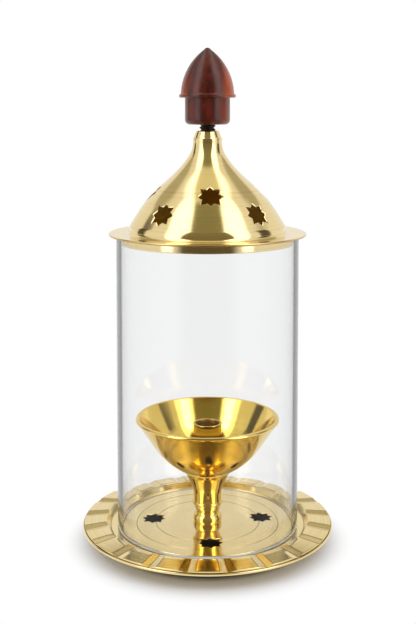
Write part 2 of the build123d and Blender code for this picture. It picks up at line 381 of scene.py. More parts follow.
def copy_faces(faces: Iterable[bmesh.types.BMFace], into: bmesh.types.BMesh) -> None:
    """Copies faces of one mesh into another.

    Args:
        faces: faces of the first mesh.
        into: the mesh that gets their copies.
    """
    fresh: dict[bmesh.types.BMVert, bmesh.types.BMVert] = {}
    for face in faces:
        for vert in face.verts:
            if vert not in fresh:
                fresh[vert] = into.verts.new(vert.co)
        into.faces.new([fresh[vert] for vert in face.verts])


def star_corners() -> list[Vector]:
    """Gives the corners of the eight-pointed punch, with its longer points on the diagonals.

    Returns:
        Sixteen corners, counterclockwise.
    """
    axial, notch, diagonal = 5.9, 4.4, 6.6
    radii = (axial, notch, diagonal, notch)
    turns = [math.radians(22.5 * i) for i in range(16)]
    return [radii[i % 4] * Vector((math.cos(t), math.sin(t))) for i, t in enumerate(turns)]


def round_corners(radius: float, count: int) -> list[Vector]:
    """Gives the corners of a drilled hole."""
    turns = [math.tau * (i + 0.5) / count for i in range(count)]
    return [radius * Vector((math.cos(t), math.sin(t))) for t in turns]


@dataclass
class Hole:
    """One hole through a spun wall."""

    corners: list[Vector]
    angle: float
    length: float


@dataclass
class SpunWall:
    """A wall of revolution that is punched as a flat blank and then wrapped round its axis.

    The blank's x is the angle from the front times `scale`, its y the length along the outer
    profile, and its depth the share of the wall's thickness.
    """

    outer: Outline
    thickness: float
    angles: list[float]
    turn: float = 4.0
    reach: float = 2.0
    holes: list[Hole] = field(default_factory=list)
    lip_width: float = 0.3
    lip_drop: float = 0.2
    patch_margin: float = 3.0
    scale: float = 30.0
    inner: Callable[[Vector, Vector, float], Vector] | None = None
    press: Callable[[Vector, float], float] | None = None
    # The next two darken the wall: painted shade in its creases and corners, and on the inner face painted
    # shade with soot.
    painted_crease_shade: Callable[[Vector, float], float] | None = None
    inner_tarnish_and_shade: float = 0.0

    def __post_init__(self) -> None:
        """Measures the profile's length, points and outward directions."""
        spots = np.array([tuple(p) for p in self.outer.points])
        steps = np.diff(spots, axis=0)
        lengths = np.linalg.norm(steps, axis=1)
        along = steps / lengths[:, None]
        along = np.vstack([along[:1], (along[1:] + along[:-1]) / 2, along[-1:]])
        self._lengths = np.concatenate([[0.0], np.cumsum(lengths)])
        self._spots = spots
        self._along = along / np.linalg.norm(along, axis=1)[:, None]
        self._found: dict[float, tuple[Vector, Vector]] = {}

    def at(self, length: float) -> tuple[Vector, Vector]:
        """Finds a point of the profile.

        Args:
            length: length along the profile.

        Returns:
            The point and the direction out of the wall there.
        """
        if length not in self._found:
            r, z, dr, dz = (
                float(np.interp(length, self._lengths, column))
                for column in (*self._spots.T, *self._along.T)
            )
            self._found[length] = Vector((r, z)), Vector((-dz, dr)).normalized()
        return self._found[length]

    def length_at(self, r: float) -> float:
        """Gives the length along the profile at which it first reaches a radius."""
        return float(self._lengths[int(np.argmax(self._spots[:, 0] >= r - 1e-6))])

    def length_below(self, z: float) -> float:
        """Gives the length along the profile at which it first falls below a height."""
        return float(self._lengths[int(np.argmax(self._spots[:, 1] < z))])

    def full_length(self) -> float:
        """Gives the profile's length."""
        return float(self._lengths[-1])

    def build(self) -> bmesh.types.BMesh:
        """Makes the wall.

        Returns:
            A closed mesh in millimetres.
        """
        blank = self._blank()
        self._punch(blank)
        self._thicken(blank)
        self._wrap(blank)
        return blank

    def _blank(self) -> bmesh.types.BMesh:
        """Makes the flat sheet, one column for each angle and one row for each chosen point.

        Returns:
            The sheet, flat and whole.
        """
        bm = bmesh.new()
        rows = [self._lengths[i] for i in self.outer.rows(self.turn, self.reach)]
        columns = [self.scale * math.radians(angle) for angle in self.angles]
        bmesh.ops.create_grid(bm, x_segments=len(columns) - 1, y_segments=len(rows) - 1, size=0.5)
        for vert in bm.verts:
            column = round((vert.co.x + 0.5) * (len(columns) - 1))
            row = round((vert.co.y + 0.5) * (len(rows) - 1))
            vert.co = (columns[column], rows[row], 0)
        return bm

    def _placed(self, hole: Hole) -> list[Vector]:
        """Lays a hole's corners, given on the plane that touches the wall, out on the blank.

        Args:
            hole: the hole.

        Returns:
            Its corners on the blank.
        """
        first = self.angles[0]
        centre = first + (hole.angle - first) % 360
        _, out = self.at(hole.length)
        slope = out.y
        laid = []
        for a, b in hole.corners:
            y = hole.length + b
            swing = 0.0
            for _ in range(4):
                spot, _ = self.at(y)
                swing = math.asin(a / spot.x)
                y = hole.length + b + spot.x * (1 - math.cos(swing)) * slope
            laid.append(Vector((self.scale * (math.radians(centre) + swing), y)))
        return laid

    def _punch(self, bm: bmesh.types.BMesh) -> None:
        """Cuts the holes through the flat sheet: the part round each is cut out, punched and sewn in.

        Args:
            bm: the sheet.
        """
        for hole in self.holes:
            opening = self._placed(hole)
            if sum(p.cross(q) for p, q in zip(opening, [*opening[1:], opening[0]])) < 0:
                opening.reverse()
            lip = widened(opening, self.lip_width)
            centre = sum(lip, Vector((0, 0))) / len(lip)
            span = max((p - centre).length for p in lip) + self.patch_margin
            near = [f for f in bm.faces if (f.calc_center_median().xy - centre).length < span]
            patch = bmesh.new()
            copy_faces(near, patch)
            bmesh.ops.delete(bm, geom=near, context="FACES")
            self._punch_patch(patch, opening, lip)
            copy_faces(patch.faces, bm)
            patch.free()
        if self.holes:
            bmesh.ops.remove_doubles(bm, verts=[v for v in bm.verts if v.is_boundary], dist=1e-5)

    def _punch_patch(
        self, bm: bmesh.types.BMesh, opening: Sequence[Vector], lip: Sequence[Vector],
    ) -> None:
        """Cuts one hole through a part of the sheet and presses its lip in.

        Args:
            bm: the part of the sheet round the hole.
            opening: the hole's corners, counterclockwise.
            lip: the corners of the line at which its lip starts.
        """
        grid = bm.edges.layers.int.new("grid")
        for edge in bm.edges:
            edge[grid] = 1
        for ring in (lip, opening):
            for a, b in zip(ring, [*ring[1:], ring[0]]):
                run = b - a
                crossed = [f for f in bm.faces if share_inside(f, a, b) > 1e-4]
                parts = dict.fromkeys(crossed)
                for face in crossed:
                    parts.update(dict.fromkeys([*face.edges, *face.verts]))
                bmesh.ops.bisect_plane(
                    bm, geom=list(parts), dist=1e-5, plane_co=(a.x, a.y, 0), plane_no=(run.y, -run.x, 0),
                )
        gone = {f for f in bm.faces if inside(f.calc_center_median().xy, opening)}
        pressed = {f for f in bm.faces if f not in gone and inside(f.calc_center_median().xy, lip)}
        bmesh.ops.delete(bm, geom=list(gone), context="FACES")
        for vert in {v for f in pressed for v in f.verts}:
            vert.co.z = -self.lip_drop * min(1.0, gap_to(vert.co.xy, lip) / self.lip_width)
        spare = [
            e for e in bm.edges
            if not e[grid] and len(e.link_faces) == 2 and not any(f in pressed for f in e.link_faces)
        ]
        bmesh.ops.dissolve_edges(bm, edges=spare, use_verts=False)
        many = [f for f in bm.faces if len(f.verts) > 4]
        bmesh.ops.triangulate(bm, faces=many, quad_method="BEAUTY", ngon_method="BEAUTY")

    def _thicken(self, bm: bmesh.types.BMesh) -> None:
        """Gives the sheet its lower side and the walls of its holes.

        Args:
            bm: the punched sheet.
        """
        result = bmesh.ops.extrude_face_region(bm, geom=bm.faces[:], use_keep_orig=True)
        for item in result["geom"]:
            if isinstance(item, bmesh.types.BMVert):
                item.co.z = -self.thickness
        ends = (self.scale * math.radians(self.angles[0]), self.scale * math.radians(self.angles[-1]))
        seams = [f for f in bm.faces if min(abs(f.calc_center_median().x - x) for x in ends) < 1e-5]
        bmesh.ops.delete(bm, geom=seams, context="FACES")

    def _wrap(self, bm: bmesh.types.BMesh) -> None:
        """Rolls the flat wall round the axis, closes its seam and marks its painted shade and its soot.

        Args:
            bm: the flat wall.
        """
        tarnish_and_shade = bm.verts.layers.float.new(TARNISH_AND_SHADE)
        for vert in bm.verts:
            angle = vert.co.x / self.scale
            spot, out = self.at(vert.co.y)
            depth = -vert.co.z / self.thickness
            back = self.inner(spot, out, vert.co.y) if self.inner else spot - out * self.thickness
            r, z = spot.lerp(back, depth)
            # the inner face and the creases get painted shade, with soot inside the lid
            if depth > 0.5:
                vert[tarnish_and_shade] = self.inner_tarnish_and_shade
            elif self.painted_crease_shade:
                vert[tarnish_and_shade] = self.painted_crease_shade(spot, angle)
            if self.press:
                z += self.press(Vector((r, z)), angle) if depth > 0.5 else self.press(spot, angle)
            vert.co = (r * math.sin(angle), -r * math.cos(angle), z)
        bmesh.ops.remove_doubles(bm, verts=bm.verts[:], dist=1e-3)
        bmesh.ops.recalc_face_normals(bm, faces=bm.faces[:])


def even_angles(first: float, count: int) -> list[float]:
    """Spreads columns evenly over a full turn, from an angle in degrees."""
    return [first + 360 * i / count for i in range(count + 1)]


def turned(outline: Outline, columns: int, turn: float = 5.0, reach: float = 3.0) -> bmesh.types.BMesh:
    """Spins an outline round the Z axis: an eighth of a turn, which is then doubled three times.

    Args:
        outline: a closed outline, or one whose two ends are on the axis.
        columns: number of steps round the axis, a multiple of eight.
        turn: most that the profile may change direction between rows, in degrees.
        reach: greatest length between rows.

    Returns:
        A closed mesh in millimetres.
    """
    bm = bmesh.new()
    chosen = [outline.points[i] for i in outline.rows(turn, reach)]
    verts = [bm.verts.new((0, -p.x, p.y)) for p in chosen]
    edges = [bm.edges.new(pair) for pair in zip(verts, verts[1:])]
    bmesh.ops.spin(
        bm, geom=[*verts, *edges], cent=(0, 0, 0), axis=(0, 0, 1), dvec=(0, 0, 0),
        angle=math.tau / 8, steps=columns // 8, use_merge=False, use_duplicate=False,
    )
    for share in (1, 2, 4):
        copy = bmesh.ops.duplicate(bm, geom=[*bm.verts, *bm.edges, *bm.faces])["geom"]
        moved = [item for item in copy if isinstance(item, bmesh.types.BMVert)]
        turn_on = Matrix.Rotation(math.tau * share / 8, 3, "Z")
        bmesh.ops.rotate(bm, cent=(0, 0, 0), matrix=turn_on, verts=moved)
    bmesh.ops.remove_doubles(bm, verts=bm.verts[:], dist=1e-3)
    bmesh.ops.recalc_face_normals(bm, faces=bm.faces[:])
    return bm


def round_rims(bm: bmesh.types.BMesh, radius: float, heights: Sequence[float], edge: float) -> None:
    """Rounds the circular edges of a wall at one radius.

    Args:
        bm: the mesh.
        radius: radius of the circles.
        heights: their heights.
        edge: radius of the rounding.
    """
    slack = 0.02

    def on_rim(vert: bmesh.types.BMVert) -> bool:
        """Tells whether a vertex lies on one of the circles."""
        level = any(abs(vert.co.z - z) < slack for z in heights)
        return level and abs(vert.co.xy.length - radius) < slack

    rims = [e for e in bm.edges if all(on_rim(v) for v in e.verts)]
    bmesh.ops.bevel(
        bm, geom=rims, offset=edge, offset_type="OFFSET", affect="EDGES", segments=3, profile=0.5,
        material=-1, clamp_overlap=True,
    )


# Shader expressions


class Wire:
    """A shader socket with arithmetic, which adds its Math nodes."""

    def __init__(self, shader: Shader, socket: bpy.types.NodeSocket) -> None:
        """Holds the socket and the tree that it is in."""
        self.shader = shader
        self.socket = socket

    def _math(self, operation: str, *values: Wire | float) -> Wire:
        """Adds a Math node on these values."""
        return self.shader.node("ShaderNodeMath", {"operation": operation}, dict(enumerate(values)))

    def __add__(self, other: Wire | float) -> Wire:
        """Adds."""
        return self._math("ADD", self, other)

    def __sub__(self, other: Wire | float) -> Wire:
        """Subtracts."""
        return self._math("SUBTRACT", self, other)

    def __rsub__(self, other: float) -> Wire:
        """Subtracts from a number."""
        return self._math("SUBTRACT", other, self)

    def __mul__(self, other: Wire | float) -> Wire:
        """Multiplies."""
        return self._math("MULTIPLY", self, other)

    def __truediv__(self, other: Wire | float) -> Wire:
        """Divides."""
        return self._math("DIVIDE", self, other)

    def __pow__(self, other: Wire | float) -> Wire:
        """Raises to a power."""
        return self._math("POWER", self, other)

    __radd__ = __add__
    __rmul__ = __mul__

    def root(self) -> Wire:
        """Takes the square root."""
        return self._math("SQRT", self)

    def size(self) -> Wire:
        """Drops the sign."""
        return self._math("ABSOLUTE", self)

    def most(self, other: Wire | float) -> Wire:
        """Takes the greater of two values."""
        return self._math("MAXIMUM", self, other)

    def above(self, other: Wire | float) -> Wire:
        """Gives 1 where this is greater, and 0 elsewhere."""
        return self._math("GREATER_THAN", self, other)

    def step(self, low: float, high: float) -> Wire:
        """Rises smoothly from 0 at one value to 1 at another.

        Args:
            low: value at which it is 0.
            high: value at which it is 1.

        Returns:
            The new value.
        """
        return self.shader.node(
            "ShaderNodeMapRange", {"interpolation_type": "SMOOTHSTEP"},
            {"Value": self, "From Min": low, "From Max": high},
        )


class Shader:
    """A node tree that finishes and the studio write their shading into."""

    def __init__(self, tree: bpy.types.NodeTree) -> None:
        """Empties the tree."""
        self.tree = tree
        tree.nodes.clear()

    def node(
        self, kind: str, settings: dict | None = None, values: dict | None = None, out: int | str = 0,
    ) -> Wire:
        """Adds one node.

        Args:
            kind: the node's type.
            settings: what is set on the node itself, before its sockets.
            values: numbers, colours or links for its sockets, by name or place.
            out: the output that is handed on.

        Returns:
            That output.
        """
        node = self.tree.nodes.new(kind)
        for name, value in (settings or {}).items():
            setattr(node, name, value)
        for name, value in (values or {}).items():
            socket = node.inputs[name]
            if isinstance(value, Wire):
                self.tree.links.new(value.socket, socket)
            elif isinstance(value, tuple) and len(value) == 3 and socket.type == "RGBA":
                socket.default_value = (*value, 1.0)
            else:
                socket.default_value = value
        return Wire(self, node.outputs[out])

    def place(self) -> tuple[Wire, Wire, Wire]:
        """Gives the Object coordinates, x, y and z, in metres."""
        spot = self.node("ShaderNodeTexCoord", out="Object")
        return self.parts(spot)

    def parts(self, vector: Wire) -> tuple[Wire, Wire, Wire]:
        """Splits a vector into x, y and z.

        Args:
            vector: the vector.

        Returns:
            Its three values.
        """
        first = self.node("ShaderNodeSeparateXYZ", None, {0: vector})
        x, y, z = (Wire(self, output) for output in first.socket.node.outputs)
        return x, y, z

    def vector(self, x: Wire | float, y: Wire | float, z: Wire | float) -> Wire:
        """Joins three values to a vector."""
        return self.node("ShaderNodeCombineXYZ", None, {0: x, 1: y, 2: z})

    def noise(self, vector: Wire, scale: float, detail: float = 2.0, roughness: float = 0.5) -> Wire:
        """Gives a noise value of about 0 to 1."""
        values = {"Vector": vector, "Scale": scale, "Detail": detail, "Roughness": roughness}
        return self.node("ShaderNodeTexNoise", {"noise_dimensions": "3D"}, values)

    def mix(self, share: Wire | float, first: Wire | Colour, second: Wire | Colour) -> Wire:
        """Mixes two colours."""
        return self.node("ShaderNodeMix", {"data_type": "RGBA"}, {0: share, 6: first, 7: second}, out=2)

    def bump(self, height: Wire, distance: float) -> Wire:
        """Turns a height from 0 to 1 into a normal, with its depth in metres."""
        return self.node("ShaderNodeBump", None, {"Height": height, "Distance": distance, "Strength": 1.0})

    def blend(self, share: Wire | float, first: Wire, second: Wire) -> Wire:
        """Mixes two shaders."""
        return self.node("ShaderNodeMixShader", None, {0: share, 1: first, 2: second})

    def output(self, kind: str, **shading: Wire) -> None:
        """Adds an output node, which hands nothing on, and links the shading to it by name.

        Args:
            kind: the node's type.
            **shading: links for its sockets, by name.
        """
        node = self.tree.nodes.new(kind)
        for name, value in shading.items():
            self.tree.links.new(value.socket, node.inputs[name])


def new_material(name: str) -> tuple[bpy.types.Material, Shader]:
    """Makes an empty node material.

    Args:
        name: the material's name.

    Returns:
        The material and its tree.
    """
    material = bpy.data.materials.new(name)
    material.use_nodes = True
    return material, Shader(material.node_tree)


# Finishes


@dataclass(frozen=True)
class Brass:
    """Brass that was turned or spun, and polished on the lathe.

    Its darker colour lies where the piece's attribute says so: in engraved grooves, and as painted
    shade in folds, corners and hollow insides, with soot inside the lid. As strong as `line_tone`,
    it also lies in the finest grooves.
    """

    name: str
    colour: Colour
    deep: Colour
    roughness: float
    # colour of the darkened places: painted shade in folds, corners and hollow insides, soot and grooves
    tarnish_and_shade: Colour = (0.10, 0.055, 0.012)
    line_depth: float = 7.0e-6
    line_scale: float = 900.0
    line_tone: float = 0.13
    band_scale: float = 100.0
    cloud_scale: float = 28.0
    smear_scale: float = 140.0

    def material(self) -> bpy.types.Material:
        """Makes the material, with fine rings that follow the lathe and a faint mottle.

        Returns:
            The material.
        """
        material, shader = new_material(self.name)
        x, y, z = shader.place()
        r = (x * x + y * y).root()
        around = shader.vector(r, 0.0, z)
        lines = shader.noise(around, self.line_scale, 4.0, 0.65)
        bands = shader.noise(around, self.band_scale)
        spot = shader.vector(x, y, z)
        cloud = shader.noise(spot, self.cloud_scale, 3.0)
        smear = shader.noise(spot, self.smear_scale, 4.0, 0.6)
        # darkening attribute: painted shade in folds, corners and hollow insides, soot in the lid, engraved
        # grooves
        tarnish_and_shade = shader.node("ShaderNodeAttribute", {"attribute_name": TARNISH_AND_SHADE}, out="Fac")
        tone = shader.mix(cloud.step(0.3, 0.75) * 0.55 + bands * 0.3, self.colour, self.deep)
        grooves = (1 - lines.step(0.30, 0.52)) * self.line_tone
        tone = shader.mix(tarnish_and_shade.most(grooves), tone, self.tarnish_and_shade)
        rough = self.roughness + (smear - 0.5) * 0.06 + (lines - 0.5) * 0.05 + tarnish_and_shade * 0.3
        surface = shader.node("ShaderNodeBsdfPrincipled", None, {
            "Base Color": tone, "Metallic": 1.0, "Roughness": rough,
            "Normal": shader.bump(lines * 0.7 + bands * 0.3, self.line_depth),
        })
        shader.output("ShaderNodeOutputMaterial", Surface=surface)
        return material


@dataclass(frozen=True)
class CastBronze:
    """Dark cast bronze of the feet."""

    name: str
    colour: Colour
    worn: Colour
    patch_scale: float = 180.0
    grain_scale: float = 1500.0
    grain_depth: float = 2.0e-5

    def material(self) -> bpy.types.Material:
        """Makes the material, dark with brighter worn patches and a sandy skin.

        Returns:
            The material.
        """
        material, shader = new_material(self.name)
        spot = shader.vector(*shader.place())
        patch = shader.noise(spot, self.patch_scale, 4.0, 0.6)
        grain = shader.noise(spot, self.grain_scale, 3.0, 0.7)
        tone = shader.mix(patch.step(0.5, 0.72), self.colour, self.worn)
        surface = shader.node("ShaderNodeBsdfPrincipled", None, {
            "Base Color": tone, "Metallic": 1.0, "Roughness": 0.32 + grain * 0.2,
            "Normal": shader.bump(grain, self.grain_depth),
        })
        shader.output("ShaderNodeOutputMaterial", Surface=surface)
        return material


@dataclass(frozen=True)
class LacqueredWood:
    """Turned wood under a gloss lacquer, streaked along its grain.

    A painted rim light, a paler orange for golden light off the sides, shows at the knob's right and,
    half as strong, at its left; it is faint below the skirt. Its edges and the skirt's are pairs of
    places, in metres, between which they fade.
    """

    name: str
    dark: Colour
    red: Colour
    amber: Colour
    # painted rim light: a paler orange for golden light off the knob's sides
    painted_rim_light: Colour
    rim_light_right: Pair = (0.005, 0.0105)
    rim_light_left: Pair = (0.008, 0.012)
    rim_light_wander: float = 0.008
    rim_light_below: float = 0.2
    skirt: Pair = (0.220, 0.2225)
    streak_scale: float = 420.0
    streak_depth: float = 1.5e-5
    broad_scale: float = 90.0
    fleck_scale: float = 900.0
    coat: float = 0.8

    def material(self) -> bpy.types.Material:
        """Makes the material, with long streaks, pores, a painted rim light at the sides and a few chips.

        Returns:
            The material.
        """
        material, shader = new_material(self.name)
        x, y, z = shader.place()
        streak = shader.noise(shader.vector(x, y, z * 0.12), self.streak_scale, 5.0, 0.62)
        broad = shader.noise(shader.vector(x, y, z * 0.3), self.broad_scale, 3.0)
        fleck = shader.noise(shader.vector(x, y, z * 0.45), self.fleck_scale)
        tone = shader.mix(streak.step(0.34, 0.7), self.dark, self.red)
        tone = shader.mix(broad.step(0.55, 0.8) * 0.2, tone, self.amber)
        # painted rim light at the sides, faint below the skirt
        wander = (broad - 0.5) * self.rim_light_wander
        rim_light = (x + wander).step(*self.rim_light_right) + (0 - x + wander).step(*self.rim_light_left) * 0.5
        rim_light = rim_light * (self.rim_light_below + z.step(*self.skirt) * (1 - self.rim_light_below))
        tone = shader.mix(rim_light * (0.4 + streak * 0.6), tone, self.painted_rim_light)
        chips = fleck.step(0.70, 0.76)
        tone = shader.mix(chips * 0.6, tone, self.amber)
        surface = shader.node("ShaderNodeBsdfPrincipled", None, {
            "Base Color": tone, "Roughness": 0.34 + streak * 0.2, "Specular IOR Level": 0.06,
            "Coat Weight": self.coat - chips * self.coat, "Coat Roughness": 0.26, "Coat IOR": 1.5,
            "Normal": shader.bump(streak, self.streak_depth),
        })
        shader.output("ShaderNodeOutputMaterial", Surface=surface)
        return material


@dataclass(frozen=True)
class ClearGlass:
    """Clear drawn glass that greys where the eye looks along its wall, with a ground foot."""

    name: str
    tint: Colour
    density: float
    shine: Colour = (0.45, 0.45, 0.45)
    ground: Colour = (0.82, 0.83, 0.82)
    ground_share: float = 0.75
    foot_top: float = 9.0 * MM
    foot_fade: float = 0.5 * MM
    ripple_scale: float = 60.0
    ripple_depth: float = 2.0e-5

    def material(self) -> bpy.types.Material:
        """Makes the material; lamps shine through it, so that what it holds is lit.

        Returns:
            The material.
        """
        material, shader = new_material(self.name)
        x, y, z = shader.place()
        spot = shader.vector(x, y, z * 0.25)
        ripple = shader.noise(spot, self.ripple_scale)
        surface = shader.node("ShaderNodeBsdfPrincipled", None, {
            "Base Color": (1.0, 1.0, 1.0), "Roughness": 0.0, "IOR": 1.5, "Transmission Weight": 1.0,
            "Specular Tint": self.shine, "Normal": shader.bump(ripple, self.ripple_depth),
        })
        ground = shader.node("ShaderNodeBsdfPrincipled", None, {"Base Color": self.ground, "Roughness": 0.5})
        foot = 1 - z.step(self.foot_top - self.foot_fade, self.foot_top)
        surface = shader.blend(foot * self.ground_share, surface, ground)
        clear = shader.node("ShaderNodeBsdfTransparent", None, {"Color": (0.96, 0.97, 0.97)})
        lamp = shader.node("ShaderNodeLightPath", out="Is Shadow Ray")
        inner = {"Color": self.tint, "Density": self.density}
        volume = shader.node("ShaderNodeVolumeAbsorption", None, inner)
        surface = shader.blend(lamp, surface, clear)
        shader.output("ShaderNodeOutputMaterial", Surface=surface, Volume=volume)
        return material


@dataclass(frozen=True)
class Steel:
    """Steel with a thin surface finish."""

    name: str
    colour: Colour
    roughness: float
    metallic: float
    grain_scale: float = 1200.0
    grain_depth: float = 4.0e-6
    patch_scale: float = 150.0

    def material(self) -> bpy.types.Material:
        """Makes the material, with a fine grain in its colour and roughness.

        Returns:
            The material.
        """
        material, shader = new_material(self.name)
        spot = shader.vector(*shader.place())
        grain = shader.noise(spot, self.grain_scale, 3.0, 0.6)
        patch = shader.noise(spot, self.patch_scale)
        bright = tuple(min(1.0, c * 1.25) for c in self.colour)
        surface = shader.node("ShaderNodeBsdfPrincipled", None, {
            "Base Color": shader.mix(patch, self.colour, bright), "Metallic": self.metallic,
            "Roughness": self.roughness + (grain - 0.5) * 0.15,
            "Normal": shader.bump(grain, self.grain_depth),
        })
        shader.output("ShaderNodeOutputMaterial", Surface=surface)
        return material


PALE_BRASS = Brass("pale_brass", (0.88, 0.715, 0.38), (0.83, 0.65, 0.31), 0.12)
GOLDEN_BRASS = Brass("golden_brass", (0.88, 0.64, 0.16), (0.80, 0.54, 0.09), 0.11, line_depth=8.0e-6)
# the hood's inside is darkened: painted shade, with soot from the flame
HOOD_BRASS = replace(PALE_BRASS, name="hood_brass", tarnish_and_shade=(0.42, 0.20, 0.015), line_tone=0.2)
# the tube's bore is darkened: painted shade
TUBE_BRASS = replace(
    GOLDEN_BRASS, name="tube_brass", roughness=0.12, tarnish_and_shade=(0.62, 0.38, 0.09), line_depth=7.0e-6,
)
BRONZE = CastBronze("bronze", (0.16, 0.085, 0.03), (0.45, 0.25, 0.09))
LACQUER = LacqueredWood(
    "lacquered_wood", dark=(0.040, 0.002, 0.0005), red=(0.105, 0.009, 0.003),
    # the last colour is a painted rim light
    amber=(0.36, 0.07, 0.018), painted_rim_light=(0.50, 0.095, 0.03),
)
GLASS = ClearGlass("clear_glass", (0.80, 0.81, 0.82), 90.0)
BLACK_STEEL = Steel("black_steel", (0.018, 0.018, 0.018), 0.42, 0.6)
PLAIN_STEEL = Steel("plain_steel", (0.58, 0.59, 0.60), 0.30, 1.0)
FINISHES = (
    PALE_BRASS, GOLDEN_BRASS, HOOD_BRASS, TUBE_BRASS, BRONZE, LACQUER, GLASS, BLACK_STEEL, PLAIN_STEEL,
)


def mesh_of(name: str, bm: bmesh.types.BMesh) -> bpy.types.Mesh:
    """Makes a mesh of a bmesh, which is freed.

    Args:
        name: the mesh's name.
        bm: what it shows.

    Returns:
        The mesh.
    """
    mesh = bpy.data.meshes.new(name)
    bm.to_mesh(mesh)
    bm.free()
    return mesh


def in_scene(name: str, data: bpy.types.ID) -> bpy.types.Object:
    """Makes an object of a mesh, a lamp or a camera and puts it in the scene.

    Args:
        name: the object's name.
        data: what it shows.

    Returns:
        The object.
    """
    item = bpy.data.objects.new(name, data)
    bpy.context.scene.collection.objects.link(item)
    return item


class Dresser:
    """Turns finished meshes into named pieces of the frame."""

    def __init__(self, frame: dict) -> None:
        """Makes the material of every finish."""
        self.frame = frame
        self.materials = {finish.name: finish.material() for finish in FINISHES}

    def piece(
        self, name: str, bm: bmesh.types.BMesh, body: Body, slot: str, nodes: Sequence[str],
        sharp: float = 32.0, finish: str | None = None,
    ) -> bpy.types.Object:
        """Makes an object of a mesh and fixes it to a body.

        Args:
            name: the piece's name.
            bm: its mesh in millimetres, which is freed.
            body: the body that it rides on.
            slot: the record's material slot of its finish.
            nodes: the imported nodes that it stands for.
            sharp: angle above which an edge stays sharp, in degrees.
            finish: name of its finish, where that isn't the slot's own.

        Returns:
            The new object.
        """
        bmesh.ops.scale(bm, vec=(MM, MM, MM), verts=bm.verts[:])
        mesh = mesh_of(name, bm)
        mesh.shade_smooth()
        mesh.set_sharp_from_angle(angle=math.radians(sharp))
        mesh.materials.append(self.materials[finish or slot])
        piece = in_scene(name, mesh)
        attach(piece, body.value)
        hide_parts(*nodes)
        LOG.info("%s: %d faces on body %s", name, len(mesh.polygons), body.value)
        return piece

    def dress_nodes(self, nodes: Iterable[str]) -> None:
        """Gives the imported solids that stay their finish.

        Args:
            nodes: the nodes' names.
        """
        slots = {part["node"]: part["material_slot"] for part in self.frame["record"]["subparts"]}
        for name in nodes:
            mesh = self.frame["nodes"][name].data
            mesh.materials.clear()
            mesh.materials.append(self.materials[slots[name]])
            LOG.info("%s: packed solid in %s", name, slots[name])


@cache
def box_of(node: str) -> tuple[Vector, Vector]:
    """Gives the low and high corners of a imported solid, in millimetres."""
    low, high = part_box(node)
    return low / MM, high / MM


def reach_of(node: str) -> float:
    """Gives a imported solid's greatest radius round the axis."""
    low, high = box_of(node)
    return (high.x - low.x) / 2


def span_of(node: str) -> Pair:
    """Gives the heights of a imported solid's lowest and highest points."""
    low, high = box_of(node)
    return low.z, high.z


def bottom_of(node: str) -> float:
    """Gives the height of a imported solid's lowest point."""
    return span_of(node)[0]


def top_of(node: str) -> float:
    """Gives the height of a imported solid's highest point."""
    return span_of(node)[1]


# Sub-assemblies


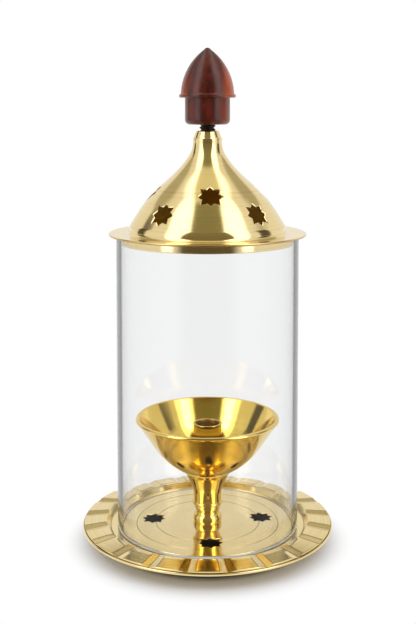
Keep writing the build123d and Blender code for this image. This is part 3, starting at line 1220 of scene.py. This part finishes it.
@dataclass
class Plate:
    """The pressed plate with its fluted rim and the three feet below it."""

    sheet: float = 1.0
    step_r: float = 42.5
    step_height: float = 0.8
    channel_r: float = 48.7
    rim_r: float = 50.9
    rim_top: float = 11.1
    panel_end_r: float = 61.7
    panel_end_top: float = 9.95
    flute_count: int = 21
    flute_depth: float = 0.9
    panel_share: float = 0.59
    crease: float = 0.05
    engraved_radii: Pair = (26.0, 35.6)
    engraved_depth: float = 0.2
    hole_circle_r: float = 27.3
    hole_angles: tuple[float, ...] = (98, 185, 265, 363)
    hole_lip: Pair = (0.25, 0.18)
    half_flute: tuple[float, ...] = (0, 0.25, 0.45, 0.53, 0.56, 0.59, 0.62, 0.66, 0.76, 0.88, 0.94, 0.97, 1)
    seam_flute: int = 2
    screw_hole_r: float = 2.7
    lip_height: float = 0.95
    foot_face_in: float = 1.5
    foot_neck_in: float = 1.9
    foot_belly_height: float = 2.9
    foot_columns: int = 96

    def __post_init__(self) -> None:
        """Takes the plate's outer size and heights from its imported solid."""
        self.radius = reach_of("base_plate")
        self.floor_top = bottom_of("stem_knop")
        self.channel_top = self.floor_top - self.step_height
        self.slope = (self.rim_top - self.panel_end_top) / (self.panel_end_r - self.rim_r)
        self.groove_slope = self.flute_depth / self.panel_end_r
        self.lip_top = self.panel_z(self.panel_end_r) - self.flute_depth
        self.lip_bottom = self.lip_top - self.lip_height

    def panel_z(self, r: float) -> float:
        """Gives the height of the flat panels at a radius."""
        return self.panel_end_top + self.slope * (self.panel_end_r - r)

    def fold(self, angle: float) -> float:
        """Gives how deep a flute is at an angle, 0 on a panel and 1 in the middle of a fold.

        Args:
            angle: angle from the front, in radians.

        Returns:
            The share of the flute's depth.
        """
        pitch = math.tau / self.flute_count
        share = abs((angle / pitch + 0.5) % 1 - 0.5) * 2
        spread = [share + self.crease * k / 4 for k in range(-4, 5)]
        folded = [1 - abs(1 - s) - self.panel_share for s in spread]
        return sum(max(0.0, s / (1 - self.panel_share)) for s in folded) / len(folded)

    def press(self, spot: Vector, angle: float) -> float:
        """Gives how far the press moves a point of the rim down.

        Args:
            spot: radius and height of the point.
            angle: angle from the front, in radians.

        Returns:
            The change of its height.
        """
        r = min(spot.x, self.panel_end_r)
        on_rim = spot.x > self.rim_r
        if r < self.channel_r or (on_rim and spot.y < self.lip_top + 1e-4):
            return 0.0
        surface = self.panel_z(r) - self.groove_slope * r * self.fold(angle)
        return max(min(spot.y, surface), self.lip_top if on_rim else 0.0) - spot.y

    def painted_crease_shade(self, spot: Vector, angle: float) -> float:
        """Gives how dark a point is: darker engraved grooves, painted shade in corners and along folds.

        Args:
            spot: radius and height of the point.
            angle: angle from the front, in radians.

        Returns:
            How dark it is painted, 0 to 1.
        """
        if any(abs(spot.x - r) < 0.05 for r in self.engraved_radii):
            return 1.0
        # painted shade: the corner below the panel ends, the channel's corner and the folds
        if spot.x > self.panel_end_r - 0.05:
            return 0.8 * (spot.x < self.panel_end_r + 0.3 and spot.y < self.lip_top + 0.3)
        if spot.x < self.rim_r:
            return 0.7 * (spot.y < self.channel_top + 0.02 and spot.x > self.channel_r - 0.3)
        share = abs((angle * self.flute_count / math.tau + 0.5) % 1 - 0.5) * 2
        return 0.85 * (min(abs(share - self.panel_share), abs(share - 1)) < 0.005)

    def outline(self) -> Outline:
        """Draws the plate's upper face, from the stem's hole to the lip.

        Returns:
            The open outline.
        """
        pen = Outline(self.screw_hole_r, self.floor_top)
        for r in self.engraved_radii:
            pen.line(r - self.engraved_depth, self.floor_top)
            pen.line(r, self.floor_top - self.engraved_depth)
            pen.line(r + self.engraved_depth, self.floor_top)
        pen.path([(self.step_r, self.floor_top), (self.step_r, self.channel_top + 0.3)], 0.3)
        rim_start = self.rim_r + 0.4
        pen.path([(self.step_r, self.channel_top), (self.channel_r, self.channel_top),
                  (self.rim_r - 0.35, self.rim_top - 0.35), (rim_start, self.panel_z(rim_start))], 0.3)
        pen.path([(self.panel_end_r, self.panel_end_top), (self.panel_end_r, self.lip_top)], 0.22)
        return pen.path([(self.radius, self.lip_top), (self.radius, self.lip_top - 0.35)], 0.34)

    def angles(self) -> list[float]:
        """Gives the columns, which are close together where a flute folds.

        Returns:
            The angles in degrees; the last is a full turn after the first.
        """
        half = 180 / self.flute_count
        inner = [*(-s for s in reversed(self.half_flute[1:])), *self.half_flute[:-1]]
        columns = [(2 * (k + self.seam_flute) + s) * half for k in range(self.flute_count) for s in inner]
        return [*columns, columns[0] + 360]

    def build(self, dresser: Dresser) -> None:
        """Makes the plate and its feet.

        Args:
            dresser: what makes the pieces.
        """
        outline = self.outline()
        wall = SpunWall(outline, self.sheet, self.angles(), turn=12, reach=2.4)
        last = wall.full_length()
        lip_start = wall.length_at(self.panel_end_r - 1.0)

        def underside(spot: Vector, out: Vector, length: float) -> Vector:
            """Gives the point of the lower face below one of the upper face.

            Args:
                spot: the point of the upper face.
                out: direction out of it.
                length: its length along the profile.

            Returns:
                The point of the lower face.
            """
            if length > lip_start:
                share = (length - lip_start) / (last - lip_start)
                start_r = self.panel_end_r - 0.9
                return Vector((start_r + (self.radius - start_r) * share, self.lip_bottom))
            if spot.y < self.floor_top + 0.05 and spot.x < self.step_r - self.sheet:
                return Vector((spot.x, self.floor_top - self.sheet))
            return spot - out * self.sheet

        wall.inner = underside
        wall.press = self.press
        # painted shade along the folds and in the corners, and darker engraved grooves
        wall.painted_crease_shade = self.painted_crease_shade
        star = star_corners()
        wall.holes = [Hole(star, angle, wall.length_at(self.hole_circle_r)) for angle in self.hole_angles]
        wall.lip_width, wall.lip_drop = self.hole_lip
        dresser.piece("plate", wall.build(), Body.BASE, "pale_brass", ["base_plate"])
        for name in ("foot_front_right", "foot_left", "foot_back"):
            self._foot(dresser, name)

    def _foot(self, dresser: Dresser, name: str) -> None:
        """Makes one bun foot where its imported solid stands.

        Args:
            dresser: what makes the pieces.
            name: the foot's node.
        """
        low, high = box_of(name)
        height = high.z
        wide = (high.x - low.x) / 2
        neck = wide - self.foot_neck_in
        face = wide - self.foot_face_in
        pen = Outline(0, 0).path([(face, 0), (face + 0.2, 0.4)], 0.25)
        pen.arc((wide, self.foot_belly_height), (neck, height - 1)).line(neck, height).line(0, height)
        bm = turned(pen, self.foot_columns)
        middle = (low + high) / 2
        bmesh.ops.translate(bm, vec=(middle.x, middle.y, 0), verts=bm.verts[:])
        dresser.piece(f"{name}_bun", bm, Body.BASE, "bronze", [name])


@dataclass
class Lamp:
    """The turned stem, the bowl on it and the tube for the wick."""

    columns: int = 224
    screw_hole_r: float = Plate.screw_hole_r
    lip_r: float = 7.5
    waist_r: float = 7.05
    socket_r: float = 5.05
    socket_depth: float = 8.3
    cone_foot: Pair = (26.9, 48.15)
    foot_r: float = 12.35
    inner_cone_foot: Pair = (26.2, 50.0)
    floor_r: float = 10.0
    spigot_r: float = 5.0
    spigot_length: float = 8.0
    tube_columns: int = 128
    tube_seam_angle: float = 45.0
    tube_bore_r: float = 6.0
    tube_seat_depth: float = 1.2
    port_r: float = 1.25
    port_angles: tuple[float, ...] = (90, 180, 270, 360)
    mouth_edge: float = 0.22

    def build(self, dresser: Dresser) -> None:
        """Makes the four pieces.

        Args:
            dresser: what makes the pieces.
        """
        outlines = {
            "stem_knop": self.knop_outline(),
            "stem_trumpet": self.trumpet_outline(),
            "oil_bowl": self.bowl_outline(),
        }
        for node, outline in outlines.items():
            bm = turned(outline, self.columns)
            dresser.piece(f"{node}_turned", bm, Body.BASE, "golden_brass", [node])
        tube, node = self.wick_tube(), "wick_tube"
        dresser.piece(f"{node}_drilled", tube, Body.WICK, "golden_brass", [node], finish="tube_brass")

    def knop_outline(self) -> Outline:
        """Draws the lower stem piece: foot, knop, neck and ring bead.

        Returns:
            The closed outline.
        """
        bottom, top = span_of("stem_knop")
        wide = reach_of("stem_knop")
        foot, waist, bead = wide - 0.4, wide - 1.55, wide - 0.75
        pen = Outline(self.screw_hole_r, top).line(self.screw_hole_r, bottom).line(foot, bottom)
        pen.arc((wide, bottom + 2.3), (foot - 0.4, bottom + 4.1))
        pen.arc((waist, bottom + 5.3), (bead - 0.35, bottom + 6.4))
        pen.arc((bead, top - 1.5), (bead - 0.35, top - 0.4))
        return pen.line(bead - 0.35, top).line(self.screw_hole_r, top)

    def trumpet_outline(self) -> Outline:
        """Draws the upper stem piece: lip, waist and flared top, with its socket.

        Returns:
            The outline, with both ends on the axis.
        """
        bottom, top = span_of("stem_trumpet")
        wide = reach_of("stem_trumpet")
        lip, waist = self.lip_r, self.waist_r
        floor = top - self.socket_depth
        pen = Outline(0, bottom).line(lip - 0.5, bottom).arc((lip, bottom + 0.8), (lip - 0.5, bottom + 1.8))
        pen.arc((waist - 0.12, bottom + 3.4), (waist, bottom + 5.4))
        pen.spline([(8.8, bottom + 11.4), (wide, top - 0.4)], (0, 1), (1.25, 1))
        return pen.line(wide, top).line(self.socket_r, top).line(self.socket_r, floor).line(0, floor)

    def bowl_outline(self) -> Outline:
        """Draws the bowl: spigot, curved foot, cone, rolled rim, inside and the tube's seat.

        Returns:
            The outline, with both ends on the axis.
        """
        top = top_of("oil_bowl")
        foot = top_of("stem_trumpet")
        rim = reach_of("oil_bowl")
        seat = bottom_of("wick_tube")
        floor = seat + self.tube_seat_depth
        cone_top = (rim - 0.85, top - 1.8)
        pen = Outline(*cone_top).line(*self.cone_foot).bend(self.foot_r, foot)
        pen.line(self.spigot_r, foot).line(self.spigot_r, foot - self.spigot_length)
        pen.line(0, foot - self.spigot_length).turn_back()
        pen.spline([(rim, top - 0.75), (rim - 0.5, top)], (8.2, 12.25), (-1, 0))
        pen.path([(rim - 1.95, top), self.inner_cone_foot], 0.3)
        pen.bend(self.floor_r, floor)
        seat_r = reach_of("wick_tube") + 0.06
        return pen.line(seat_r, floor).line(seat_r, seat).line(0, seat)

    def wick_tube(self) -> bmesh.types.BMesh:
        """Makes the tube with its four oil ports and a rounded mouth.

        Returns:
            A closed mesh in millimetres.
        """
        radius = reach_of("wick_tube")
        bottom, top = span_of("wick_tube")
        angles = even_angles(self.tube_seam_angle, self.tube_columns)
        wall = SpunWall(
            Outline(radius, top).line(radius, bottom), radius - self.tube_bore_r, angles,
            # the bore gets painted shade
            lip_width=0.12, lip_drop=0.1, inner_tarnish_and_shade=1.0,
        )
        port_length = top - bottom - self.tube_seat_depth - 2 * self.port_r
        port = round_corners(self.port_r, 24)
        wall.holes = [Hole(port, angle, port_length) for angle in self.port_angles]
        bm = wall.build()
        for r in (radius, self.tube_bore_r):
            round_rims(bm, r, [top], self.mouth_edge)
        return bm


@dataclass
class Chimney:
    """The glass cylinder that stands in the plate's channel."""

    wall: float = 2.4
    edge: float = 0.6
    columns: int = 256

    def build(self, dresser: Dresser) -> None:
        """Makes the glass.

        Args:
            dresser: what makes the pieces.
        """
        radius = reach_of("glass_chimney")
        outline = ring_outline(radius - self.wall, radius, *span_of("glass_chimney"), self.edge)
        bm = turned(outline, self.columns, turn=15, reach=20)
        dresser.piece("glass_tube", bm, Body.CHIMNEY, "clear_glass", ["glass_chimney"], sharp=60)


@dataclass
class Lid:
    """The spun hood with its star vents, its collar and the stud in its neck."""

    sheet: float = 1.0
    mouth_sheet: float = 0.35
    thin_length: float = 5.0
    brim_edge: float = 0.36
    mouth_r: float = 4.3
    neck_r: float = 7.15
    ogee: tuple[Pair, ...] = ((10.9, 190.4), (18.6, 182.25), (30.2, 171.0))
    foot_r: float = 38.75
    foot_fillet: float = 1.6
    collar_wall: float = 0.8
    collar_edge: float = 0.25
    collar_columns: int = 256
    upper_angles: tuple[float, ...] = (-87, 3, 93)
    lower_angles: tuple[float, ...] = (-39.5, 44.5)
    vent_heights: Pair = (175.1, 166.4)
    columns: int = 360
    seam_angle: float = 25.0
    thread_pitch: float = 1.9
    thread_depth: float = 0.75
    thread_columns: int = 48

    def build(self, dresser: Dresser) -> None:
        """Makes the three pieces.

        Args:
            dresser: what makes the pieces.
        """
        dresser.piece("hood_spun", self.hood(), Body.LID, "pale_brass", ["lid_hood"], finish="hood_brass")
        radius = reach_of("lid_collar")
        outline = ring_outline(radius - self.collar_wall, radius, *span_of("lid_collar"), self.collar_edge)
        collar = turned(outline, self.collar_columns)
        dresser.piece("collar_ring", collar, Body.LID, "pale_brass", ["lid_collar"])
        dresser.piece("stud_threaded", self.stud(), Body.LID, "black_steel", ["lid_stud"], sharp=60)

    def outline(self) -> Outline:
        """Draws the hood's outer face, from the neck's mouth to the edge of the brim.

        Returns:
            The open outline.
        """
        bottom, top = span_of("lid_hood")
        brim_top = bottom + self.sheet
        brim_r = reach_of("lid_hood")
        neck = self.neck_r
        mouth = [(5.5, top), (neck - 0.35, top - 3.2), (neck, top - 3.8), (neck, top - 5.0)]
        pen = Outline(self.mouth_r, top).path(mouth, 0.35)
        pen.line(neck, top - 6.1)
        pen.spline([*self.ogee, (self.foot_r - 0.35, brim_top + 3.7)], (0, -1), (0.62, -1))
        pen.line(self.foot_r, brim_top + self.foot_fillet)
        pen.bend(self.foot_r + self.foot_fillet, brim_top, leaving=(0, -1))
        return pen.line(brim_r, brim_top)

    def hood(self) -> bmesh.types.BMesh:
        """Makes the hood, with a wall that thins at the neck's mouth.

        Returns:
            A closed mesh in millimetres.
        """
        columns = even_angles(self.seam_angle, self.columns)
        # the inner face is darkened: painted shade, with soot from the flame
        wall = SpunWall(self.outline(), self.sheet, columns, turn=3, reach=1.5, inner_tarnish_and_shade=1.0)

        def inside_face(spot: Vector, out: Vector, length: float) -> Vector:
            """Gives the point of the inner face below one of the outer face."""
            share = min(1.0, length / self.thin_length)
            return spot - out * (self.mouth_sheet + (self.sheet - self.mouth_sheet) * share)

        wall.inner = inside_face
        star = star_corners()
        for height, angles in zip(self.vent_heights, (self.upper_angles, self.lower_angles)):
            wall.holes += [Hole(star, angle, wall.length_below(height)) for angle in angles]
        bm = wall.build()
        bottom = bottom_of("lid_hood")
        round_rims(bm, reach_of("lid_hood"), [bottom, bottom + self.sheet], self.brim_edge)
        return bm

    def stud(self) -> bmesh.types.BMesh:
        """Makes the stud with its thread as one screw surface, cut square at both ends.

        Returns:
            A closed mesh in millimetres.
        """
        bottom, top = span_of("lid_stud")
        crest = reach_of("lid_stud")
        root = crest - self.thread_depth
        pitch = self.thread_pitch
        steps = self.thread_columns
        bm = bmesh.new()
        flat = crest - 0.04
        section = [(root, 0), (root, 0.1), (flat, 0.42), (crest, 0.5), (flat, 0.58), (root, 0.9), (root, 1)]
        verts = [bm.verts.new((0, -r, bottom + (share - 1) * pitch)) for r, share in section]
        edges = [bm.edges.new(pair) for pair in zip(verts, verts[1:])]
        bmesh.ops.spin(
            bm, geom=[*verts, *edges], cent=(0, 0, 0), axis=(0, 0, 1), dvec=(0, 0, pitch / steps),
            angle=math.tau, steps=steps, use_merge=False, use_duplicate=False,
        )
        turn = [*bm.verts, *bm.edges, *bm.faces]
        for _ in range(math.ceil((top - bottom) / pitch) + 1):
            turn = bmesh.ops.duplicate(bm, geom=turn)["geom"]
            lifted = [item for item in turn if isinstance(item, bmesh.types.BMVert)]
            bmesh.ops.translate(bm, vec=(0, 0, pitch), verts=lifted)
        bmesh.ops.remove_doubles(bm, verts=bm.verts[:], dist=1e-3)
        for height, direction in ((bottom, -1), (top, 1)):
            bmesh.ops.bisect_plane(
                bm, geom=[*bm.verts, *bm.edges, *bm.faces], dist=1e-5, plane_co=(0, 0, height),
                plane_no=(0, 0, direction), clear_outer=True,
            )
        bmesh.ops.holes_fill(bm, edges=[e for e in bm.edges if e.is_boundary], sides=0)
        bmesh.ops.recalc_face_normals(bm, faces=bm.faces[:])
        return bm


@dataclass
class Finial:
    """The turned wooden knob."""

    body_r: float = 11.1
    corner: float = 2.4
    skirt_rise: float = 13.15
    dome_via: Pair = (11.1, 24.65)
    tip: Pair = (1.6, 0.9)
    columns: int = 192

    def build(self, dresser: Dresser) -> None:
        """Makes the knob.

        Args:
            dresser: what makes the pieces.
        """
        bottom, top = span_of("knob")
        skirt_r = reach_of("knob")
        skirt = bottom + self.skirt_rise
        insert_r, insert_top = reach_of("knob_insert"), top_of("knob_insert")
        tip_r, tip_drop = self.tip
        via_r, via_rise = self.dome_via
        pen = Outline(0, top).bend(tip_r, top - tip_drop, leaving=(1, 0))
        pen.arc((via_r, bottom + via_rise), (skirt_r - 0.9, skirt + 2.6))
        ledge = [(skirt_r - 0.85, skirt + 2.1), (skirt_r - 0.05, skirt + 1.35), (skirt_r, skirt + 0.4)]
        below = [(skirt_r - 0.5, skirt), (self.body_r, skirt + 0.3), (self.body_r, bottom + self.corner)]
        pen.path([*ledge, *below], 0.3)
        pen.bend(self.body_r - self.corner, bottom, leaving=(0, -1))
        pen.line(insert_r, bottom).line(insert_r, insert_top).line(0, insert_top)
        knob = turned(pen, self.columns)
        dresser.piece("knob_turned", knob, Body.FINIAL, "lacquered_wood", ["knob"], sharp=40)


# Studio


@dataclass
class Studio:
    """Camera, lamps, floor and surroundings, which aren't part of the object.

    A pair named for a fade, a side or a reach holds the two values between which it goes from
    none to full. Those of the room are slopes or shares of a direction, those of the floor metres.
    """

    camera_back: float = 0.5071
    camera_height: float = 0.21547
    pitch: float = 4.0
    lens: float = 59.29
    shift: Pair = (0.0008, -0.2085)
    box_angle: float = 52.0
    box_away: float = 0.95
    box_height: float = 0.52
    box_aim: float = 0.12
    box_size: Pair = (0.30, 1.15)
    box_light: float = 3.2
    room_light: float = 0.62
    white: Colour = (1.0, 1.0, 1.0)
    beside: Colour = (0.17, 0.17, 0.17)
    gap_front: Colour = (0.12, 0.10, 0.055)
    floor_size: float = 6.0
    floor_pale: Colour = (0.86, 0.86, 0.86)
    # painted shadow: the floor is dark close under the plate, seen from above
    painted_shadow_under_plate: Colour = (0.10, 0.08, 0.06)
    painted_shadow_reach: Pair = (0.044, 0.052)
    shadow_reach: Pair = (0.054, 0.073)
    floor_gap_side: Pair = (0.55, 0.95)
    floor_gap_start: Pair = (0.10, 0.22)
    tent: Colour = (0.92, 0.91, 0.87)
    front_fade: Pair = (0.2, 0.5)
    gap_zenith: Colour = (0.84, 0.79, 0.56)
    gap_middle: Colour = (0.29, 0.27, 0.15)
    gap_low: Colour = (0.21, 0.175, 0.095)
    gap_width: float = 0.28
    gap_flare: float = 0.55
    gap_fade: Pair = (-0.06, 0.05)
    zenith_fade: Pair = (0.10, 0.27)
    strip_light: Colour = (2.3, 2.3, 2.254)
    strip_width: float = 0.16
    strip_flare: float = 2.0
    strip_fade: Pair = (-0.08, 0.08)
    seam: Colour = (0.10, 0.09, 0.06)
    seam_left: float = 0.44
    seam_right: float = 0.07
    seam_side: Pair = (0.15, 0.24)
    seam_top: Pair = (0.5, 0.9)
    band: Colour = (0.50, 0.47, 0.36)
    band_bottom: Pair = (0.46, 0.54)
    band_top: Pair = (0.74, 0.84)
    band_side: Pair = (0.15, 0.4)

    def build(self) -> None:
        """Makes everything round the object."""
        bpy.context.scene.view_settings.view_transform = "Standard"
        self._camera()
        self._lamps()
        self._floor()
        self._room()

    def _camera(self) -> None:
        """Sets the camera at the photograph's viewing angle."""
        data = bpy.data.cameras.new("camera")
        data.lens = self.lens
        data.shift_x, data.shift_y = self.shift
        data.clip_start = 0.01
        camera = in_scene("camera", data)
        camera.location = (0, -self.camera_back, self.camera_height)
        camera.rotation_euler = (math.radians(90 - self.pitch), 0, 0)
        bpy.context.scene.camera = camera

    def _lamps(self) -> None:
        """Sets two tall soft boxes beside the camera; metal sees the room's strips instead."""
        for side, name in ((-1, "soft_box_left"), (1, "soft_box_right")):
            data = bpy.data.lights.new(name, "AREA")
            data.shape = "RECTANGLE"
            data.size, data.size_y = self.box_size
            data.energy = self.box_light * math.pi * data.size * data.size_y
            lamp = in_scene(name, data)
            lamp.visible_glossy = False
            turn = math.radians(self.box_angle) * side
            lamp.location = (self.box_away * math.sin(turn), -self.box_away * math.cos(turn), self.box_height)
            aim = Vector((0, 0, self.box_aim)) - lamp.location
            lamp.rotation_euler = aim.to_track_quat("-Z", "Y").to_euler()

    def _floor(self) -> None:
        """Lays a pale floor that takes the object's shadow and is plain white further out.

        Close under the plate it has a painted shadow, dark from above only, so that the air holes show
        dark. Metal and glass see a dark gap in it, in front of the object, as they do in the room.
        """
        bm = bmesh.new()
        bmesh.ops.create_grid(bm, x_segments=1, y_segments=1, size=self.floor_size)
        mesh = mesh_of("floor", bm)
        material, shader = new_material("floor")
        x, y, _ = shader.place()
        out = (x * x + y * y).root()
        from_below = shader.node("ShaderNodeNewGeometry", out="Backfacing")
        # painted shadow under the plate, which shows through the air holes
        pale = out.step(*self.painted_shadow_reach).most(from_below)
        cover = shader.mix(pale, self.painted_shadow_under_plate, self.floor_pale)
        shaded = shader.node("ShaderNodeBsdfDiffuse", None, {"Color": cover})
        ahead = (0 - y).most(1e-4)
        gap = (1 - (x.size() / ahead).step(*self.floor_gap_side)) * ahead.step(*self.floor_gap_start)
        tone = shader.mix(gap * self._mirrored(shader), self.white, self.gap_front)
        tone = shader.mix(self._through_edge(shader), tone, self.beside)
        white = shader.node("ShaderNodeEmission", None, {"Color": tone, "Strength": 1.0})
        away = out.step(*self.shadow_reach) * self._seen(shader)
        shader.output("ShaderNodeOutputMaterial", Surface=shader.blend(away, shaded, white))
        mesh.materials.append(material)
        floor = in_scene("floor", mesh)

    @staticmethod
    def _ray(shader: Shader, *outputs: str) -> list[Wire]:
        """Gives what is known of the ray that is followed, by the outputs' names."""
        return [shader.node("ShaderNodeLightPath", out=output) for output in outputs]

    def _seen(self, shader: Shader) -> Wire:
        """Gives 1 to rays from the camera and to those that metal or glass sends on."""
        camera, glossy, passed = self._ray(shader, "Is Camera Ray", "Is Glossy Ray", "Is Transmission Ray")
        return camera.most(glossy).most(passed)

    def _mirrored(self, shader: Shader) -> Wire:
        """Gives 1 to rays that metal or glass has mirrored."""
        return self._ray(shader, "Glossy Depth")[0].above(0.5)

    def _through_edge(self, shader: Shader) -> Wire:
        """Gives 1 to rays that go in and out of one glass wall and glance off inside it."""
        passes = self._ray(shader, "Transmission Depth")[0]
        return self._mirrored(shader) * passes.above(1.5) * (1 - passes.above(2.5))

    def _room(self) -> None:
        """Makes the surroundings: a white tent with a dark gap over the camera between two bright strips.

        The tent has a dark seam at each side and a dimmer band high at the back. The camera itself
        sees plain white.
        """
        world = bpy.data.worlds.new("tent")
        world.use_nodes = True
        bpy.context.scene.world = world
        shader = Shader(world.node_tree)
        x, y, z = shader.parts(shader.node("ShaderNodeTexCoord", out="Generated"))
        front = 1 - y.step(*self.front_fade)
        upright = (y * y + z * z).root().most(1e-4)
        forward = 0 - y / upright
        low = forward.most(0.0) ** 3.0
        aside = x.size() / upright
        gap_edge = self.gap_width + low * self.gap_flare
        strip_edge = gap_edge + self.strip_width + (0.06 - y).most(0.0) * self.strip_flare
        in_gap = (1 - (aside - gap_edge).step(*self.gap_fade)) * front
        in_strip = (1 - (aside - strip_edge).step(*self.strip_fade)) * front
        out = x.size().most(1e-4)
        seam_place = self.seam_left - x.above(0.0) * (self.seam_left - self.seam_right)
        in_seam = 1 - (y / out - seam_place).size().step(*self.seam_side)
        in_seam = in_seam * (1 - (z / out).step(*self.seam_top))
        in_band = z.step(*self.band_bottom) * (1 - z.step(*self.band_top)) * y.step(*self.band_side)
        gap = shader.mix(forward.step(*self.zenith_fade), self.gap_zenith, self.gap_middle)
        wall = shader.mix(in_band, self.tent, self.band)
        wall = shader.mix(in_seam, wall, self.seam)
        wall = shader.mix(in_strip, wall, self.strip_light)
        wall = shader.mix(in_gap, wall, shader.mix(low, gap, self.gap_low))
        sight = shader.mix(self._mirrored(shader), self.white, wall)
        sight = shader.mix(self._through_edge(shader), sight, self.beside)
        seen = shader.node("ShaderNodeBackground", None, {"Color": sight, "Strength": 1.0})
        even = {"Color": self.white, "Strength": self.room_light}
        light = shader.node("ShaderNodeBackground", None, even)
        shader.output("ShaderNodeOutputWorld", Surface=shader.blend(self._seen(shader), light, seen))


def main() -> None:
    """Builds every sub-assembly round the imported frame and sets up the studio."""
    logging.basicConfig(level=logging.INFO, format="%(name)s: %(message)s")
    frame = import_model()
    dresser = Dresser(frame)
    for assembly in (Plate(), Lamp(), Chimney(), Lid(), Finial()):
        LOG.info("building the %s", type(assembly).__name__.lower())
        assembly.build(dresser)
    dresser.dress_nodes(("stem_screw", "screw_washer", "neck_bush", "stud_washer", "stud_nut", "knob_insert"))
    Studio().build()


if __name__ == "__main__":
    main()
